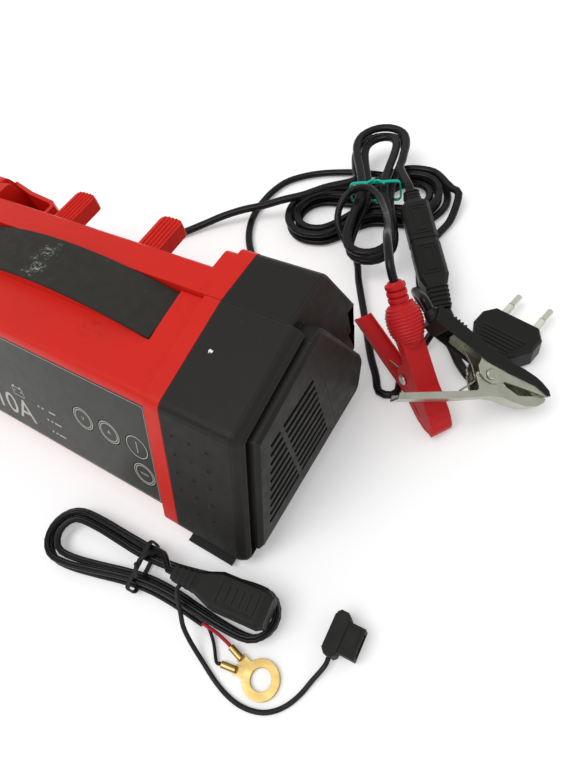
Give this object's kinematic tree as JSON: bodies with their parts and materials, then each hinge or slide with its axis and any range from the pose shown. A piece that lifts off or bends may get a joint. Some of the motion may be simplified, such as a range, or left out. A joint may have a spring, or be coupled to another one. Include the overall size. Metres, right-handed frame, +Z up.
{
  "type": "car battery charger",
  "caption": "Portable battery charger with an arched grip, front buttons, cord posts, mains plug lead, clamp leads and a ring terminal lead.",
  "frame": {"origin": "centre of the case's footprint, on the surface it stands on, measured without the leads", "axes": "+Z up, +X towards the end with the fan, along the case's length, -Y towards the button panel"},
  "size_m": [0.3724, 0.3567, 0.0952],
  "materials": {
    "red_case": "satin moulded plastic, paint-like deep red",
    "black_case": "finely textured black",
    "soft_rubber": "matt",
    "panel": "matt printed sheet",
    "button": "matt",
    "circuit_board": "solder mask",
    "core_steel": "varnished laminations",
    "winding": "enamelled winding",
    "can": "sleeved can",
    "sink": "extruded",
    "black_plastic": "satin",
    "cord": "smooth soft sheath",
    "pin_sleeve": "pale insulation",
    "pin_metal": "nickel plated",
    "green_tie": "coated wire tie",
    "clamp_nickel": "satin nickel plating",
    "clamp_red": "moulded red",
    "brass": "stamped",
    "wire_red": "red insulation"
  },
  "bodies": {
    "charger": {"black_clamp_arm": "clamp_nickel", "black_clamp_rivet": "clamp_nickel", "black_clamp_sleeve": "black_plastic", "black_clamp_spring": "clamp_nickel", "black_lead": "cord", "cap_front_left": "black_case", "cap_front_right": "black_case", "cap_rear_left": "black_case", "cap_rear_right": "black_case", "capacitor": "can", "connector_plug": "black_plastic", "connector_socket": "black_plastic", "control_board": "circuit_board", "control_panel": "panel", "fan_frame": "black_plastic", "foot_front_left": "soft_rubber", "foot_front_right": "soft_rubber", "foot_rear_left": "soft_rubber", "foot_rear_right": "soft_rubber", "front_shell": "red_case", "gland_mains": "soft_rubber", "gland_output": "soft_rubber", "grip_pad": "soft_rubber", "heat_sink": "sink", "mains_cord": "cord", "mains_hank": "cord", "mains_tail": "cord", "output_cord": "cord", "output_hank": "cord", "output_tail": "cord", "output_tie": "green_tie", "pin_left": "pin_metal", "pin_right": "pin_metal", "pin_sleeve_left": "pin_sleeve", "pin_sleeve_right": "pin_sleeve", "plug_body": "black_plastic", "power_board": "circuit_board", "rear_shell": "red_case", "red_clamp_arm": "clamp_red", "red_clamp_rivet": "clamp_nickel", "red_clamp_spring": "clamp_nickel", "red_lead": "cord", "ring_connector": "black_plastic", "ring_lead_cap": "soft_rubber", "ring_lead_hank": "cord", "ring_lead_strap": "soft_rubber", "ring_lead_tie": "black_plastic", "ring_terminal_a": "brass", "ring_terminal_b": "brass", "ring_wire_a": "wire_red", "ring_wire_b": "cord", "transformer_core": "core_steel", "transformer_winding": "winding"},
    "button_volt": {"button_volt": "button"},
    "button_amp": {"button_amp": "button"},
    "button_power": {"button_power": "button"},
    "button_mode": {"button_mode": "button"},
    "fan_rotor": {"fan_rotor": "black_plastic"},
    "red_clamp_lever": {"red_clamp_lever": "clamp_red"},
    "black_clamp_lever": {"black_clamp_lever": "clamp_nickel"}
  },
  "joints": [
    {"name": "press_volt", "type": "slide", "parent": "charger", "child": "button_volt", "axis": [0, 0.9311, -0.3647], "range_m": [0, 0.0006], "stiffness_N_per_m": 800},
    {"name": "press_amp", "type": "slide", "parent": "charger", "child": "button_amp", "axis": [0, 0.9311, -0.3647], "range_m": [0, 0.0006], "stiffness_N_per_m": 800},
    {"name": "press_power", "type": "slide", "parent": "charger", "child": "button_power", "axis": [0, 0.9311, -0.3647], "range_m": [0, 0.0006], "stiffness_N_per_m": 800},
    {"name": "press_mode", "type": "slide", "parent": "charger", "child": "button_mode", "axis": [0, 0.9311, -0.3647], "range_m": [0, 0.0006], "stiffness_N_per_m": 800},
    {"name": "red_clamp_open", "type": "hinge", "parent": "charger", "child": "red_clamp_lever", "pos_m": [0.1671, 0.0559, 0.0205], "axis": [-0.5076, -0.8474, 0.1555], "range_deg": [-30, 0], "stiffness_Nm_per_rad": 0.5, "springref_deg": 11.46, "deforming": ["red_clamp_spring"]},
    {"name": "black_clamp_open", "type": "hinge", "parent": "charger", "child": "black_clamp_lever", "pos_m": [0.19973, 0.06579, 0.02514], "axis": [0.5378, -0.1174, 0.8348], "range_deg": [-30, 0], "stiffness_Nm_per_rad": 0.5, "springref_deg": 11.46, "deforming": ["black_clamp_spring"]},
    {"name": "fan_spin", "type": "hinge", "parent": "charger", "child": "fan_rotor", "pos_m": [0.1197, -0.01, 0.042], "axis": [1, 0, 0], "continuous": true}
  ]
}
